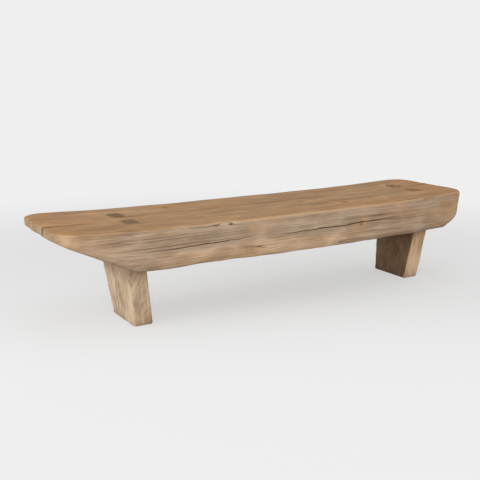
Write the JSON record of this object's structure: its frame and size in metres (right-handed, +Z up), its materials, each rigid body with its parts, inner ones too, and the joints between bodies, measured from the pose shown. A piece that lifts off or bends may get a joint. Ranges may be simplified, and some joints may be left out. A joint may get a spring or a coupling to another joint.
{
  "type": "hewn slab bench",
  "caption": "Low rustic bench: a thick hewn wooden slab seat with thinned, rounded ends on stout slab legs, held by wedged through tenons.",
  "frame": {"origin": "on the floor, under the middle of the seat's length and width", "axes": "+X along the seat towards its fuller end, +Y towards the back, +Z up"},
  "size_m": [1.8, 0.446, 0.3865],
  "materials": {
    "seat_wood": "dry, hewn and hand-worn",
    "leg_wood": "dry and hewn",
    "wedge_wood": "end grain, worn flush"
  },
  "bodies": {
    "root": {"seat_slab": "seat_wood", "left_leg": "leg_wood", "right_leg": "leg_wood", "left_front_outer_wedge": "wedge_wood", "left_front_inner_wedge": "wedge_wood", "left_back_outer_wedge": "wedge_wood", "left_back_inner_wedge": "wedge_wood", "right_front_outer_wedge": "wedge_wood", "right_front_inner_wedge": "wedge_wood", "right_back_outer_wedge": "wedge_wood", "right_back_inner_wedge": "wedge_wood"}
  },
  "joints": []
}
